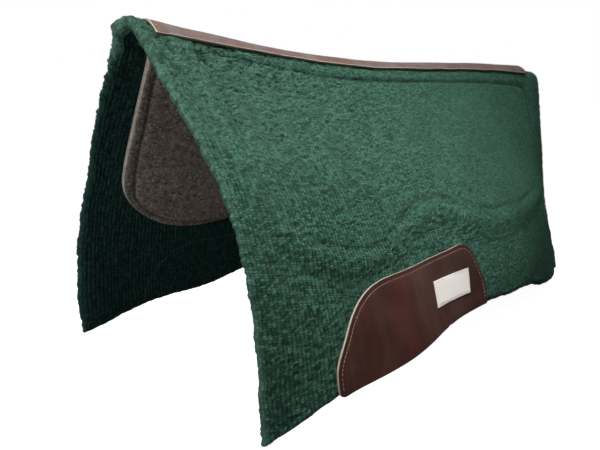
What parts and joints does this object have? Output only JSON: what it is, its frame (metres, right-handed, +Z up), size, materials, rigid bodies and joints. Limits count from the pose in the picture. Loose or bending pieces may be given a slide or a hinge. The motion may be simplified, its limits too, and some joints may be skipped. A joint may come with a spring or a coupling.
{
  "type": "saddle pad",
  "caption": "Contoured woven wool saddle pad with sewn-in felt inserts, a leather spine strip and leather wear panels; its sides fold open and closed about the crest.",
  "frame": {"origin": "on the ground under the middle of the pad, which stands on its four lower corners", "axes": "+X towards the horse's head (the withers end), +Y towards the horse's left side, +Z up"},
  "size_m": [0.7605, 0.4754, 0.4167],
  "materials": {
    "wool": "thick hand-woven dark green wool, matt and slightly fuzzy",
    "felt": "pressed brown-grey felt with flecks of lighter fibre",
    "leather": "dark reddish-brown leather, satin, with natural tan cut edges",
    "tan_thread": "waxed tan sewing thread",
    "green_thread": "dark green sewing thread",
    "label": "plain off-white woven label with no text",
    "label_thread": "fine off-white thread"
  },
  "bodies": {
    "spine": {"wool_crest": "wool", "spine_leather": "leather", "spine_needle_thread": "tan_thread", "spine_bobbin_thread": "tan_thread"},
    "left_side": {"wool_left": "wool", "felt_left": "felt", "felt_needle_thread_left": "green_thread", "felt_bobbin_thread_left": "tan_thread", "wear_leather_left": "leather", "wear_needle_thread_left": "tan_thread", "wear_bobbin_thread_left": "green_thread", "label_left": "label", "label_thread_left": "label_thread"},
    "right_side": {"wool_right": "wool", "felt_right": "felt", "felt_needle_thread_right": "green_thread", "felt_bobbin_thread_right": "tan_thread", "wear_leather_right": "leather", "wear_needle_thread_right": "tan_thread", "wear_bobbin_thread_right": "green_thread", "label_right": "label", "label_thread_right": "label_thread"}
  },
  "joints": [
    {"name": "left_fold", "type": "hinge", "parent": "spine", "child": "left_side", "pos_m": [-0.00026, 0.02518, 0.37539], "axis": [0.9975, 0, 0.0705], "range_deg": [-6, 45], "stiffness_Nm_per_rad": 3},
    {"name": "right_fold", "type": "hinge", "parent": "spine", "child": "right_side", "pos_m": [-0.00026, -0.02518, 0.37539], "axis": [-0.9975, 0, -0.0705], "range_deg": [-6, 45], "stiffness_Nm_per_rad": 3}
  ]
}
